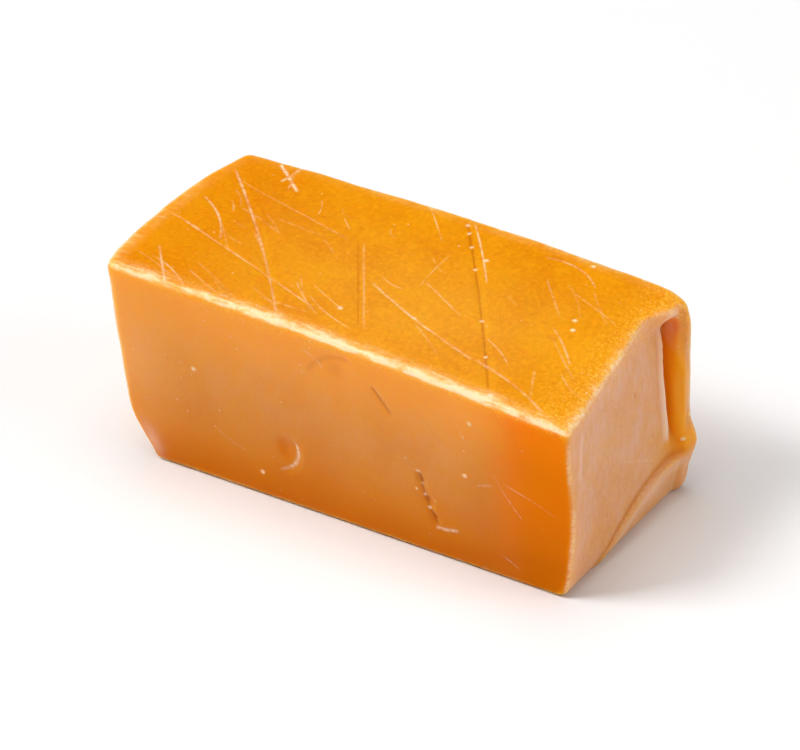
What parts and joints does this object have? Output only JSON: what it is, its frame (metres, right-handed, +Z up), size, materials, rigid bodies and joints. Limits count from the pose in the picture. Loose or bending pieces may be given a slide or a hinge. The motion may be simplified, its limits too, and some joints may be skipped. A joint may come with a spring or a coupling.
{
  "type": "toffee candy",
  "caption": "Unwrapped chewy toffee: a short, slightly squashed bar with rounded edges and wrapper folds pressed into both ends.",
  "frame": {"origin": "under the middle of the bar's box, on the surface that it lies on", "axes": "+X along the bar, towards the end with the deep side fold; +Y across it, towards the swelling side; +Z up"},
  "size_m": [0.0352, 0.016, 0.0146],
  "materials": {
    "toffee": "satin honey-brown toffee, slightly translucent, with pale worn edges, fine scratches and faint bloom"
  },
  "bodies": {
    "root": {"toffee": "toffee"}
  },
  "joints": []
}
